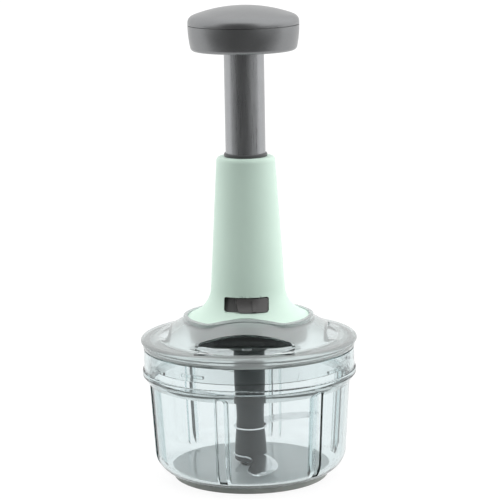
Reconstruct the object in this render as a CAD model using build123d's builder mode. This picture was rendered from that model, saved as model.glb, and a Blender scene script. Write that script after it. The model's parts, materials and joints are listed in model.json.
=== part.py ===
from build123d import *

import os
from math import atan2, cos, degrees, hypot, radians, sin

# Hand-press food chopper: pushing the knob drives a tube and its nut down a twisted rod, and the rod
# spins three blades in the bowl through a one-way clutch. Millimetres, Z up, the origin in the middle
# of the foot's underside. The front, with the lock switch, faces -Y.

# ------------------------------------------------------------------ walls, fits and gaps
WALL = 2.2              # moulded walls of the bowl, lid and handle
RUNNING_FIT = 0.05      # radial play of a shaft in its bearing
PRESS_FIT = 0.02        # radial play drawn between pieces that are pressed together
SLIDING_GAP = 0.3       # gap between pieces that move past one another
SEAM_GAP = 0.25         # gap along a seam between fixed housings

# ------------------------------------------------------------------ bowl
FOOT_RADIUS = 45.2
PAD_HEIGHT = 3.2        # non-slip pad that covers the bowl's underside
PAD_TREAD = 6.6         # width of the ring that the pad stands on
PAD_HOLLOW = 0.8        # the pad's middle stays this far off the table
PAD_ROUNDING = 0.8
SPIGOT_WIDTH = 2.0      # collar under the bowl that centres the pad
SPIGOT_DEPTH = 1.2
FLOOR_THICKNESS = 2.8
FLOOR_RADIUS = 46.4
SHOULDER_RADIUS = 56.0
CORNER_RISE = 12.6      # height of the rounded corner between foot and wall
WALL_RISE = 40.6        # conical wall above the corner
WALL_FLARE = 2.5        # the wall's growth in radius over that rise
COLLAR_STEP = 2.8       # the collar stands this far outside the wall's top
BEAD_PROUD = 0.9        # bead at the collar's foot
BEAD_RISE = 5.0
BEAD_HEIGHT = 3.0
COLLAR_HEIGHT = 12.2
RIB_COUNT = 6           # the wall is pressed in from outside, so each groove is a rib within
GROOVE_WIDTH = 4.7
RIB_DEPTH = 3.0
RIB_WALL = 1.4          # wall on either side of a groove
RIB_AZIMUTH = -14.0     # of the first rib, in degrees from the front towards +X
GROOVE_DROP = 2.4       # from the inner ledge down to the grooves' rounded tops
PIN_RADIUS = 2.5        # steel pin that the blades' hub turns on
PIN_RISE = 8.8
PIN_SEAT = 4.0
BOSS_RADIUS = 6.4
BOSS_HEIGHT = 2.2
MARK_AZIMUTH = 30.0     # lock mark on the collar, and the turn that locks the lid
MARK_WIDTH = 2.2
MARK_LENGTH = 4.9
MARK_PROUD = 0.2

foot_top = PAD_HEIGHT
floor_top = foot_top + FLOOR_THICKNESS
shoulder_height = foot_top + CORNER_RISE
wall_top = shoulder_height + WALL_RISE
wall_top_radius = SHOULDER_RADIUS + WALL_FLARE
collar_radius = wall_top_radius + COLLAR_STEP
bead_radius = collar_radius + BEAD_PROUD
bead_bottom = wall_top + BEAD_RISE
bead_top = bead_bottom + BEAD_HEIGHT
rim_top = bead_top + COLLAR_HEIGHT
collar_inner = collar_radius - WALL
ledge_top = bead_bottom - 0.2 * WALL
boss_top = floor_top + BOSS_HEIGHT
pin_top = boss_top + PIN_RISE

# ------------------------------------------------------------------ lid and seal
SEAL_WIDTH = 2.7
SEAL_HEIGHT = 1.5
SEAL_GAP = 0.8          # open seam between bowl rim and lid
SKIRT_DEPTH = 11.1      # the lid's skirt inside the bowl
SKIRT_GAP = 1.7         # radial space between the skirt and the collar, for the bayonet
STRIP_PROUD = 0.2       # the lid's plain edge strip above the seam
STRIP_HEIGHT = 2.2
RIM_PROUD = 1.3         # rolled rim above the strip
RIM_RISE = 1.3
RIM_CREST_RISE = 3.4    # from the strip's top to the crest of the rim
RIM_CREST_INSET = 5.3   # from the rolled rim in to its crest
DOME_FOOT_RADIUS = 53.0
DOME_FOOT_RISE = 0.8    # the dome's foot above the rim's crest
DOME_TOP_RADIUS = 27.0
DOME_RISE = 14.7
DOME_BULGE = 0.75       # of the dome's line above its chord
SKIRT_RADIUS = 35.1     # round skirt of the handle, seated in the lid
SKIRT_FLAT = 28.0       # the skirt is cut flat this far to the front and back
SKIRT_CORNER = 9.0
LIP_WIDTH = 2.4         # raised lip of the lid around the skirt
LIP_RISE = 1.1
NICHE_DISTANCE = 40.5   # big finger niches, front and back
NICHE_HALF_WIDTH = 26.6
NICHE_RISE = 7.3
SIDE_NICHE_DISTANCE = 45.5
SIDE_NICHE_HALF_WIDTH = 19.0
SIDE_NICHE_RISE = 3.2
NICHE_FLOOR_FALL = 2.2  # the niche's floor falls this much to the dome's foot
TONGUE_HALF_WIDTH = 19.3
TONGUE_RISE = 1.2       # its ends start this far above the lid's edge
TONGUE_DROP = 1.7       # and its middle reaches this far below it
TONGUE_THICKNESS = 1.0
LUG_COUNT = 3           # bayonet
LUG_HALF_ANGLE = 8.0
LUG_HEIGHT = 1.6
LUG_AZIMUTH = 60.0
TAB_HALF_ANGLE = 7.0
LID_TURN = MARK_AZIMUTH

lid_bottom = rim_top + SEAL_GAP
seal_top = rim_top + SEAL_HEIGHT
skirt_outer = collar_inner - SKIRT_GAP
skirt_bottom = rim_top + 1.5 - SKIRT_DEPTH
seal_inner = skirt_outer + PRESS_FIT
seal_outer = seal_inner + SEAL_WIDTH
strip_radius = collar_radius + STRIP_PROUD
strip_top = lid_bottom + STRIP_HEIGHT
rim_radius = strip_radius + RIM_PROUD
crest_radius = rim_radius - RIM_CREST_INSET
crest_height = strip_top + RIM_CREST_RISE
dome_foot = crest_height + DOME_FOOT_RISE
dome_top = dome_foot + DOME_RISE
lug_radius = collar_inner - SLIDING_GAP
tab_radius = skirt_outer + SLIDING_GAP
lug_bottom = skirt_bottom + 0.8
tab_bottom = lug_bottom + LUG_HEIGHT + SLIDING_GAP

# ------------------------------------------------------------------ handle
WEB_DROP = 2.2          # from the skirt's edge down to the lid's web
SKIRT_EDGE_RISE = 11.0  # from the dome's foot up to the skirt's edge
NECK_RISE = 17.2        # flare, from the skirt's edge to the cone
NECK_RADIUS = 21.4
CONE_RISE = 73.4
CONE_TOP_RADIUS = 17.0
CROWN_RISE = 2.6
CROWN_RADIUS = 14.0
ROOF = 2.9
SLOT_HALF_WIDTH = 12.8  # window for the lock switch
SLOT_BOTTOM_RISE = 6.1  # above the skirt's edge
SLOT_HEIGHT = 8.3
SLOT_CORNER = 1.4
SCREW_CIRCLE = 23.6
SCREW_COUNT = 3
SCREW_AZIMUTH = 60.0
SCREW_RADIUS = 1.5
SCREW_HEAD_RADIUS = 2.8
SCREW_HEAD_HEIGHT = 1.6
SCREW_BITE = 5.5
SCREW_BOSS_RADIUS = 3.6

skirt_edge = dome_foot + SKIRT_EDGE_RISE
web_top = skirt_edge - WEB_DROP
web_bottom = web_top - WALL
neck_height = skirt_edge + NECK_RISE
cone_top = neck_height + CONE_RISE
handle_top = cone_top + CROWN_RISE
slot_bottom = skirt_edge + SLOT_BOTTOM_RISE
slot_top = slot_bottom + SLOT_HEIGHT

# ------------------------------------------------------------------ plunger, nut and knob
TUBE_RADIUS = 11.5
TUBE_WALL = 1.6
STROKE = 56.0
BUSH_LIP = 1.9          # the guide bush shows this much above the handle
BUSH_LIP_PROUD = 0.25
BUSH_WALL = 0.65
BUSH_SLEEVE_WALL = 1.7
BUSH_FLANGE = 2.0
TUBE_ABOVE_BUSH = 58.8  # from the bush to the knob's underside
SOCKET_DEPTH = 6.5      # the tube's end inside the knob
TUBE_CAP = 8.0
NUT_FLANGE = 3.0
NUT_SPIGOT = 9.0
NUT_LUG_RADIUS = 15.0
NUT_LUG_WIDTH = 4.6
NUT_BORE = 4.0
KNOB_RADIUS = 31.8
KNOB_FOOT_INSET = 1.8   # the knob's foot is this much narrower than its seam
KNOB_FOOT_ROUNDING = 2.4
KNOB_CUP_HEIGHT = 14.6
KNOB_FLOOR = 2.6
KNOB_WALL = 2.0
KNOB_SEAM = 0.3
DOME_EDGE_RISE = 1.2    # straight side of the knob's cap above the seam
CAP_SHOULDER_INSET = 5.8
CAP_SHOULDER_RISE = 6.7
CAP_RISE = 10.9
CAP_SKIRT = 4.0
CAP_SCREW_RADIUS = 2.0

bush_top = handle_top + BUSH_LIP
knob_bottom = bush_top + TUBE_ABOVE_BUSH
tube_top = knob_bottom + SOCKET_DEPTH
tube_bore = TUBE_RADIUS - TUBE_WALL
knob_seam = knob_bottom + KNOB_CUP_HEIGHT
knob_foot_radius = KNOB_RADIUS - KNOB_FOOT_INSET
cap_shoulder_radius = KNOB_RADIUS - CAP_SHOULDER_INSET

# ------------------------------------------------------------------ drive
ROD_WIDTH = 5.0
ROD_THICKNESS = 2.4
ROD_PITCH = 55.0        # height of one full turn of the twisted rod
ROD_GAP = 0.3           # clearance of the nut around the rod
ROD_TAIL = 12.0         # rod that passes above the nut at rest
ROD_START = 10.3        # rod's foot above the clutch case's edge
SEAT_HEIGHT = 3.0
CASE_RADIUS = 34.0      # the clutch case is cut flat at front and back, as the skirt above it is
CASE_FLAT = 29.5
CASE_CORNER = 8.0
CASE_WALL = 2.0
CASE_ROOF = 1.8
CASE_HEIGHT = 9.9
COVER_PLATE = 1.6
STEM_RADIUS = 6.5
STEM_RISE = 15.3        # of the clutch's stem above its disc
CARRIER_RADIUS = 10.5
CARRIER_THICKNESS = 1.6
RATCHET_RADIUS = 18.5
RATCHET_ROOT = 16.5
RATCHET_TIP = 14.8
RATCHET_TEETH = 12
RATCHET_FLOOR = 1.3
RATCHET_BOSS_RADIUS = 7.0
RATCHET_BOSS = 2.0
PAWL_COUNT = 3
PAWL_PIVOT = 8.0
PAWL_WIDTH = 1.7
PAWL_EYE = 1.6
PAWL_SWEEP = 47.0       # from its pivot round to its tip
PAWL_BITE = 0.3         # the middle of its tip stands this far outside the teeth's tips
PAWL_SPRING = 0.2
CROSS_PIN_RADIUS = 1.0
SHAFT_RADIUS = 5.0
HEX_FLATS = 8.0
HEX_LENGTH = 14.0
NECK_OUTER = 12.5       # neck of the clutch cover around the shaft
BUSH_RADIUS = 8.0
SPRING_WIRE = 1.1
SPRING_COILS = 9

case_top = web_bottom
case_bottom = case_top - CASE_HEIGHT
cover_top = case_bottom + COVER_PLATE
chamber_top = case_top - CASE_ROOF
ratchet_bottom = cover_top + SLIDING_GAP
carrier_bottom = ratchet_bottom + RATCHET_FLOOR + SLIDING_GAP
carrier_top = carrier_bottom + CARRIER_THICKNESS
stem_top = carrier_top + STEM_RISE
rod_bottom = case_bottom + ROD_START
rod_corner = hypot(ROD_WIDTH, ROD_THICKNESS) / 2

# The nut hangs under the guide bush at rest and stops just above the stem when fully pressed.
nut_bottom = stem_top + 1.0 + STROKE
nut_flange_top = nut_bottom + NUT_FLANGE
nut_top = nut_flange_top + NUT_SPIGOT
rod_top = nut_flange_top + ROD_TAIL
seat_bottom = nut_top + 2 * SLIDING_GAP
seat_top = seat_bottom + SEAT_HEIGHT
spring_top = tube_top - TUBE_CAP

# ------------------------------------------------------------------ blade unit
HUB_TOP_RADIUS = 9.1
HUB_WAIST_RADIUS = 8.0
HUB_FOOT_RADIUS = 9.3
HUB_FOOT_GAP = 0.4      # above the bowl's boss
HUB_TOP_GAP = 0.6       # under the clutch cover's neck
NECK_DROP = 4.6
BLADE_THICKNESS = 1.0
BLADE_REACH = 49.0
BLADE_EYE = 6.0         # each blade's eye sits in a groove of the hub
LOWER_BLADE_RISE = 3.0
BLADE_STEP = 16.5
LOWER_BLADE_AZIMUTH = 8.0
BLADE_TURN = 120.0

neck_bottom = case_bottom - NECK_DROP
hub_top = neck_bottom - HUB_TOP_GAP
hub_bottom = boss_top + HUB_FOOT_GAP

# ------------------------------------------------------------------ lock switch
LOCK_TURN = 19.0
RING_INNER = 16.0
RING_OUTER = 17.7
RING_THICKNESS = 3.0
RING_TAB_RADIUS = 12.2
RING_TAB_HALF_ANGLE = 11.0
RING_TAB_LEAD = 25.0    # the tabs' angle ahead of the nut's lugs when unlocked
SHELF_THICKNESS = 1.7
PLATE_THICKNESS = 1.2
PLATE_MARGIN = 0.9
PLATE_HALF_ANGLE = 40.0
THUMB_PROUD = 0.5
THUMB_GAP = 0.5
RIDGE_AZIMUTH = 11.0
RIDGE_HALF_ANGLE = 2.4
RIDGE_PROUD = 0.8
ARM_HALF_ANGLE = 4.0
ARM_HEIGHT = 2.2

lug_top_pressed = nut_flange_top - STROKE
ring_bottom = lug_top_pressed + 1.0
ring_top = ring_bottom + RING_THICKNESS
shelf_top = ring_bottom - SLIDING_GAP
rib_bottom = ring_top + SLIDING_GAP
arm_bottom = (ring_bottom + ring_top - ARM_HEIGHT) / 2
arm_azimuth = LOCK_TURN / 2

os.makedirs("parts", exist_ok=True)


def outward(azimuth):
    """Unit vector away from the axis, at an angle from the front (-Y) towards +X."""
    return Vector(sin(radians(azimuth)), -cos(radians(azimuth)), 0)


def meridian_plane(azimuth):
    """Plane through the axis whose x is the radius at an azimuth and whose y is the height."""
    radius = outward(azimuth)
    return Plane(origin=(0, 0, 0), x_dir=radius, z_dir=radius.cross(Vector(0, 0, 1)))


def facing_plane(azimuth, distance):
    """Upright plane that faces outwards at an azimuth, at a distance from the axis."""
    radius = outward(azimuth)
    side = Vector(0, 0, 1).cross(radius)
    return Plane(origin=radius * distance, x_dir=side, z_dir=radius)


def around(count, first):
    """Azimuths of a pattern spread evenly round the axis."""
    return [first + 360 * i / count for i in range(count)]


def inset(points, amount):
    """Points moved to the right of their direction of travel, square to their neighbours' chord."""
    moved = []
    for i, (x, y) in enumerate(points):
        before = points[max(i - 1, 0)]
        after = points[min(i + 1, len(points) - 1)]
        dx, dy = after[0] - before[0], after[1] - before[1]
        length = hypot(dx, dy)
        moved.append((x + amount * dy / length, y - amount * dx / length))
    return moved


def ring_block(inner, outer, bottom, top, azimuth, half_angle, mode=Mode.ADD):
    """A block of a ring about the axis, joined to or cut from the part being built."""
    with BuildSketch(meridian_plane(azimuth - half_angle)) as section:
        with Locations(((inner + outer) / 2, (bottom + top) / 2)):
            Rectangle(outer - inner, top - bottom)
    revolve(section.sketch, axis=Axis.Z, revolution_arc=2 * half_angle, mode=mode)


def disc(radius, bottom, top, mode=Mode.ADD):
    """An upright disc or bore on the axis, joined to or cut from the part being built."""
    with BuildSketch(Plane.XY.offset(bottom)) as section:
        Circle(radius)
    extrude(section.sketch, amount=top - bottom, mode=mode)


def turned(points, mode=Mode.ADD):
    """A turned shape from the corners of its half section, as (radius, height)."""
    with BuildSketch(Plane.XZ) as section:
        with BuildLine():
            Polyline(*points, close=True)
        make_face()
    revolve(section.sketch, axis=Axis.Z, mode=mode)


def cut_circle(radius, flat, corner):
    """Plan of a circle cut flat at front and back, with its corners rounded."""
    with BuildSketch() as plan:
        Circle(radius)
        Rectangle(2 * radius, 2 * flat, mode=Mode.INTERSECT)
        fillet(plan.vertices(), corner)
    return plan.sketch


def skirt_outline(grow):
    """Plan of the handle's skirt, grown by an amount."""
    return cut_circle(SKIRT_RADIUS + grow, SKIRT_FLAT + grow, SKIRT_CORNER + grow)


def case_outline(grow):
    """Plan of the clutch case, grown by an amount."""
    return cut_circle(CASE_RADIUS + grow, CASE_FLAT + grow, CASE_CORNER + grow)


def prism(outline, bottom, top):
    """An upright prism of a plan, from one height to another."""
    with BuildPart() as column:
        add(outline.moved(Location((0, 0, bottom))))
        extrude(amount=top - bottom)
    return column.part


def finish(part, name):
    """Label a finished piece and write its file."""
    part.label = name
    export_step(part, f"parts/{name}.step")


# ================================================================== bowl
wall_line = (WALL_FLARE, WALL_RISE)
tread_inner = FOOT_RADIUS - PAD_TREAD
spigot_outer = tread_inner - PRESS_FIT
spigot_inner = spigot_outer - SPIGOT_WIDTH
spigot_bottom = foot_top - SPIGOT_DEPTH
pad_top = foot_top - PRESS_FIT

groove_top = ledge_top - GROOVE_DROP
rib_top_radius = wall_top_radius - WALL - RIB_DEPTH


def flute(width, top, inner_radius):
    """A round-topped bar down the bowl's wall at the front, as deep as a radius at the wall's top."""
    foot_radius = inner_radius - WALL_FLARE * (wall_top - foot_top) / WALL_RISE
    with BuildPart() as bar:
        with BuildSketch(Plane.XZ):
            with Locations((0, (foot_top + top - width / 2) / 2)):
                Rectangle(width, top - width / 2 - foot_top)
            with Locations((0, top - width / 2)):
                Circle(width / 2)
        extrude(amount=bead_radius)
        turned(
            [
                (0, foot_top),
                (foot_radius, foot_top),
                (inner_radius, wall_top),
                (inner_radius, rim_top),
                (0, rim_top),
            ],
            mode=Mode.SUBTRACT,
        )
    return bar.part


rib = flute(GROOVE_WIDTH + 2 * RIB_WALL, groove_top + RIB_WALL, rib_top_radius)
groove = flute(GROOVE_WIDTH, groove_top, rib_top_radius + WALL)

with BuildPart() as bowl_outside:
    with BuildSketch(Plane.XZ) as bowl_section:
        with BuildLine():
            Polyline(
                (0, rim_top),
                (0, foot_top),
                (FOOT_RADIUS, foot_top),
            )
            TangentArc(
                (SHOULDER_RADIUS, shoulder_height),
                (FOOT_RADIUS, foot_top),
                tangent=(-wall_line[0], -wall_line[1]),
            )
            Polyline(
                (SHOULDER_RADIUS, shoulder_height),
                (wall_top_radius, wall_top),
                (bead_radius, bead_bottom),
                (bead_radius, bead_top),
                (collar_radius, bead_top),
                (collar_radius, rim_top),
                (0, rim_top),
            )
        make_face()
        bead_corners = [
            bowl_section.vertices().sort_by_distance(corner)[0]
            for corner in ((bead_radius, bead_bottom), (bead_radius, bead_top))
        ]
        fillet(bead_corners, 0.8 * BEAD_PROUD)
    revolve(axis=Axis.Z)

with BuildPart() as ribs:
    with PolarLocations(0, RIB_COUNT, start_angle=RIB_AZIMUTH):
        add(rib)
    add(bowl_outside.part, mode=Mode.INTERSECT)

with BuildPart() as bowl:
    add(bowl_outside.part)
    with BuildSketch(Plane.XZ):
        with BuildLine():
            Polyline(
                (0, rim_top),
                (collar_inner, rim_top),
                (collar_inner, ledge_top),
                (wall_top_radius - WALL, ledge_top),
                (wall_top_radius - WALL, wall_top),
                (SHOULDER_RADIUS - WALL, shoulder_height),
            )
            TangentArc(
                (SHOULDER_RADIUS - WALL, shoulder_height),
                (FLOOR_RADIUS, floor_top),
                tangent=(-wall_line[0], -wall_line[1]),
            )
            Polyline(
                (FLOOR_RADIUS, floor_top),
                (BOSS_RADIUS, floor_top),
                (BOSS_RADIUS, boss_top),
                (0, boss_top),
                (0, rim_top),
            )
        make_face()
    revolve(axis=Axis.Z, mode=Mode.SUBTRACT)
    add(ribs.part)
    with PolarLocations(0, RIB_COUNT, start_angle=RIB_AZIMUTH):
        add(groove, mode=Mode.SUBTRACT)
    turned([
        (spigot_inner, spigot_bottom),
        (spigot_outer, spigot_bottom),
        (spigot_outer, foot_top),
        (spigot_inner, foot_top),
    ])
    for azimuth in around(LUG_COUNT, LUG_AZIMUTH + LID_TURN):
        ring_block(
            tab_radius, collar_radius - WALL / 2, tab_bottom, tab_bottom + LUG_HEIGHT,
            azimuth, TAB_HALF_ANGLE,
        )
    with BuildSketch(facing_plane(MARK_AZIMUTH, collar_radius - WALL / 2)) as mark_face:
        mark_middle = (bead_top + lid_bottom - TONGUE_DROP) / 2
        drop_radius = MARK_WIDTH / 2
        with Locations((0, mark_middle + drop_radius - MARK_LENGTH / 2)):
            Circle(drop_radius)
        with BuildLine():
            Polyline(
                (-0.9 * drop_radius, mark_middle - MARK_LENGTH / 2 + 1.4 * drop_radius),
                (0.9 * drop_radius, mark_middle - MARK_LENGTH / 2 + 1.4 * drop_radius),
                (0, mark_middle + MARK_LENGTH / 2),
                close=True,
            )
        make_face()
    extrude(mark_face.sketch, amount=WALL / 2 + MARK_PROUD)
    disc(PIN_RADIUS + PRESS_FIT, boss_top - PIN_SEAT, boss_top, mode=Mode.SUBTRACT)
finish(bowl.part, "bowl")

with BuildPart() as base_pad:
    turned([
        (0, PAD_HOLLOW),
        (tread_inner, PAD_HOLLOW),
        (tread_inner, 0),
        (FOOT_RADIUS, 0),
        (FOOT_RADIUS, pad_top),
        (tread_inner, pad_top),
        (tread_inner, spigot_bottom - PRESS_FIT),
        (spigot_inner - PRESS_FIT, spigot_bottom - PRESS_FIT),
        (spigot_inner - PRESS_FIT, pad_top),
        (0, pad_top),
    ])
    outer_edge = base_pad.edges().group_by(Axis.Z)[0].sort_by(SortBy.RADIUS)[-1]
    fillet(outer_edge, PAD_ROUNDING)
finish(base_pad.part, "base_pad")

with BuildPart() as centre_pin:
    disc(PIN_RADIUS, boss_top - PIN_SEAT, pin_top)
    chamfer(centre_pin.edges().group_by(Axis.Z)[-1], PIN_RADIUS / 3)
finish(centre_pin.part, "centre_pin")

# ================================================================== seal and lid
with BuildPart() as lid_seal:
    turned([
        (seal_inner, rim_top),
        (seal_outer, rim_top),
        (seal_outer, seal_top),
        (seal_inner, seal_top),
    ])
finish(lid_seal.part, "lid_seal")


def niche(distance, half_width, rise, grow):
    """A finger niche in the front of the dome: an arched prism above a floor that falls outwards.

    grow widens it on every side, which leaves a wall between it and the dome's inside.
    """
    floor = dome_foot + DOME_FOOT_RISE + NICHE_FLOOR_FALL - 2 * DOME_FOOT_RISE
    low = floor - NICHE_FLOOR_FALL
    reach = rim_radius
    with BuildPart() as hollow:
        with BuildSketch(Plane.XZ.offset(distance - grow)):
            with Locations((0, floor)):
                Ellipse(half_width + grow, rise + grow)
            with Locations((0, floor - rise)):
                Rectangle(3 * half_width, 2 * rise, mode=Mode.SUBTRACT)
            with Locations((0, (floor + low) / 2 - grow)):
                Rectangle(2 * (half_width + NICHE_FLOOR_FALL + grow), floor - low + 2 * grow)
        extrude(amount=reach)
        with BuildSketch(Plane.YZ) as under_floor:
            with BuildLine():
                Polyline(
                    (-(distance - grow), floor - grow),
                    (-DOME_FOOT_RADIUS, low - grow),
                    (-2 * reach, low - grow),
                    (-2 * reach, low - 4 * rise),
                    (-(distance - grow), low - 4 * rise),
                    close=True,
                )
            make_face()
        extrude(under_floor.sketch, amount=2 * half_width, both=True, mode=Mode.SUBTRACT)
    return hollow.part


niche_sizes = (
    (NICHE_DISTANCE, NICHE_HALF_WIDTH, NICHE_RISE, 0),
    (SIDE_NICHE_DISTANCE, SIDE_NICHE_HALF_WIDTH, SIDE_NICHE_RISE, 90),
)
dome_chord = ((DOME_TOP_RADIUS, dome_top), (DOME_FOOT_RADIUS, dome_foot))
dome_middle = (
    (DOME_TOP_RADIUS + DOME_FOOT_RADIUS) / 2 + 0.5 * DOME_BULGE,
    (dome_top + dome_foot) / 2 + 0.86 * DOME_BULGE,
)
dome_line = [dome_chord[0], dome_middle, dome_chord[1]]
under_dome = inset(dome_line, WALL)
well_wall = prism(skirt_outline(SEAM_GAP + WALL), web_bottom, dome_top)
well = prism(skirt_outline(SEAM_GAP), web_top, handle_top)
lip_limit = prism(skirt_outline(SEAM_GAP + LIP_WIDTH), web_bottom, handle_top)
niches = [(niche(*size[:3], 0), size[3]) for size in niche_sizes]
niche_walls = [(niche(*size[:3], WALL), size[3]) for size in niche_sizes]

with BuildPart() as lid_hollow:
    with BuildSketch(Plane.XZ):
        with BuildLine():
            ThreePointArc(*under_dome)
            Polyline(
                under_dome[2],
                (under_dome[2][0], skirt_bottom),
                (0, skirt_bottom),
                (0, under_dome[0][1]),
                under_dome[0],
            )
        make_face()
    revolve(axis=Axis.Z)
    add(well_wall, mode=Mode.SUBTRACT)
    for wall_of_niche, turn in niche_walls:
        with PolarLocations(0, 2, start_angle=turn):
            add(wall_of_niche, mode=Mode.SUBTRACT)

with BuildPart() as collar_lip:
    turned([
        (DOME_TOP_RADIUS, dome_top - WALL),
        (SKIRT_RADIUS + 1.5 * LIP_WIDTH, skirt_edge - 1.2 * WALL),
        (SKIRT_RADIUS + 1.5 * LIP_WIDTH, skirt_edge + 0.25 * LIP_RISE),
        (SKIRT_RADIUS, skirt_edge + 0.75 * LIP_RISE),
        (SKIRT_FLAT, dome_top - 0.5 + 0.5 * LIP_RISE),
        (DOME_TOP_RADIUS, dome_top + 0.5 * LIP_RISE),
    ])
    add(lip_limit, mode=Mode.INTERSECT)

with BuildPart() as tongue:
    turned([
        (strip_radius - 0.5, lid_bottom),
        (collar_radius + SLIDING_GAP, lid_bottom),
        (collar_radius + SLIDING_GAP, lid_bottom - TONGUE_DROP),
        (collar_radius + SLIDING_GAP + TONGUE_THICKNESS, lid_bottom - TONGUE_DROP),
        (collar_radius + SLIDING_GAP + TONGUE_THICKNESS, strip_top + RIM_RISE / 2),
        (strip_radius - 0.5, strip_top + RIM_RISE / 2),
    ])
    with BuildSketch(Plane.XZ) as tongue_face:
        with BuildLine():
            ThreePointArc(
                (-TONGUE_HALF_WIDTH, lid_bottom + TONGUE_RISE),
                (0, lid_bottom - TONGUE_DROP),
                (TONGUE_HALF_WIDTH, lid_bottom + TONGUE_RISE),
            )
            Polyline(
                (TONGUE_HALF_WIDTH, lid_bottom + TONGUE_RISE),
                (TONGUE_HALF_WIDTH, strip_top + RIM_RISE),
                (-TONGUE_HALF_WIDTH, strip_top + RIM_RISE),
                (-TONGUE_HALF_WIDTH, lid_bottom + TONGUE_RISE),
            )
        make_face()
    extrude(tongue_face.sketch, amount=2 * rim_radius, mode=Mode.INTERSECT)

with BuildPart() as lid:
    with BuildSketch(Plane.XZ):
        with BuildLine():
            ThreePointArc(*dome_line)
            Spline(
                (DOME_FOOT_RADIUS, dome_foot),
                (crest_radius, crest_height),
                (rim_radius, strip_top + RIM_RISE),
                tangents=((1, -0.35), (-0.15, -1)),
            )
            Polyline(
                (rim_radius, strip_top + RIM_RISE),
                (strip_radius, strip_top),
                (strip_radius, lid_bottom),
                (seal_outer + PRESS_FIT, lid_bottom),
                (seal_outer + PRESS_FIT, seal_top),
                (skirt_outer, seal_top),
                (skirt_outer, skirt_bottom),
                (skirt_outer - WALL, skirt_bottom),
                (skirt_outer - WALL, crest_height - WALL),
                (0, crest_height - WALL),
                (0, dome_top),
                (DOME_TOP_RADIUS, dome_top),
            )
        make_face()
    revolve(axis=Axis.Z)
    add(lid_hollow.part, mode=Mode.SUBTRACT)
    for hollow, turn in niches:
        with PolarLocations(0, 2, start_angle=turn):
            add(hollow, mode=Mode.SUBTRACT)
    add(collar_lip.part)
    add(well, mode=Mode.SUBTRACT)
    add(tongue.part)
    for azimuth in around(LUG_COUNT, LUG_AZIMUTH):
        ring_block(
            skirt_outer - WALL / 2, lug_radius, lug_bottom, lug_bottom + LUG_HEIGHT,
            azimuth, LUG_HALF_ANGLE,
        )
    disc(STEM_RADIUS + 2 * SEAM_GAP, web_bottom, web_top, mode=Mode.SUBTRACT)
    for azimuth in around(SCREW_COUNT, SCREW_AZIMUTH):
        with Locations(Location(outward(azimuth) * SCREW_CIRCLE + Vector(0, 0, web_bottom))):
            Cylinder(
                SCREW_RADIUS + SEAM_GAP, 3 * WALL, mode=Mode.SUBTRACT,
            )
finish(lid.part, "lid")

# ================================================================== handle
def flare(depth):
    """Control points of the handle's flare, from the cone down to the skirt's edge."""
    slope = (NECK_RADIUS - CONE_TOP_RADIUS) / CONE_RISE
    reach = 0.46 * NECK_RISE
    return inset(
        [
            (NECK_RADIUS, neck_height),
            (NECK_RADIUS + slope * reach, neck_height - reach),
            (NECK_RADIUS + 4.6, skirt_edge + 3.7),
            (SKIRT_RADIUS, skirt_edge),
        ],
        depth,
    )


def flare_band(outside, inside, bottom, top, azimuth, half_angle):
    """A block that follows the flare between two depths and two heights, over a range of azimuth."""
    with BuildSketch(meridian_plane(azimuth - half_angle)) as section:
        with BuildLine():
            outer_line = Bezier(*flare(outside))
            inner_line = Bezier(*flare(inside))
            Line(outer_line @ 0, inner_line @ 0)
            Line(outer_line @ 1, inner_line @ 1)
        make_face()
        with Locations((NECK_RADIUS, (bottom + top) / 2)):
            Rectangle(2 * NECK_RADIUS, top - bottom, mode=Mode.INTERSECT)
    revolve(section.sketch, axis=Axis.Z, revolution_arc=2 * half_angle)


cone = [(CONE_TOP_RADIUS, cone_top), (NECK_RADIUS, neck_height)]
handle_inside = inset(cone, WALL)
roof_bottom = handle_top - ROOF
guide_span = nut_flange_top - rib_bottom
skirt_column = prism(skirt_outline(0), web_top, handle_top)
skirt_bore = prism(skirt_outline(-WALL), web_top - WALL, handle_top)

with BuildPart() as handle_core:
    with BuildSketch(Plane.XZ):
        with BuildLine():
            inner_flare = Bezier(*flare(WALL))
            Polyline(inner_flare @ 0, (handle_inside[0][0], roof_bottom), (0, roof_bottom))
            Polyline((0, roof_bottom), (0, web_top - WALL), (SKIRT_RADIUS - WALL, web_top - WALL))
            Line((SKIRT_RADIUS - WALL, web_top - WALL), inner_flare @ 1)
        make_face()
    revolve(axis=Axis.Z)
    add(skirt_bore, mode=Mode.INTERSECT)

with BuildPart() as inner_fittings:
    for azimuth in around(3, LUG_AZIMUTH):
        with BuildSketch(facing_plane(azimuth, NUT_LUG_RADIUS - 2)) as guide_face:
            offset_x = NUT_LUG_WIDTH / 2 + SLIDING_GAP + 0.8
            with Locations((-offset_x, rib_bottom + guide_span / 2), (offset_x, rib_bottom + guide_span / 2)):
                Rectangle(1.6, guide_span)
        extrude(guide_face.sketch, amount=NECK_RADIUS)
    for azimuth in around(SCREW_COUNT, SCREW_AZIMUTH):
        with Locations(Location(outward(azimuth) * SCREW_CIRCLE + Vector(0, 0, web_top))):
            Cylinder(
                SCREW_BOSS_RADIUS, SLOT_HEIGHT + 2 * WALL,
                align=(Align.CENTER, Align.CENTER, Align.MIN),
            )
    for azimuth, half_angle in ((100, 35), (180, 18), (260, 35)):
        ring_block(
            RING_INNER + 0.5, NECK_RADIUS + 3, shelf_top - SHELF_THICKNESS, shelf_top,
            azimuth, half_angle,
        )

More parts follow.
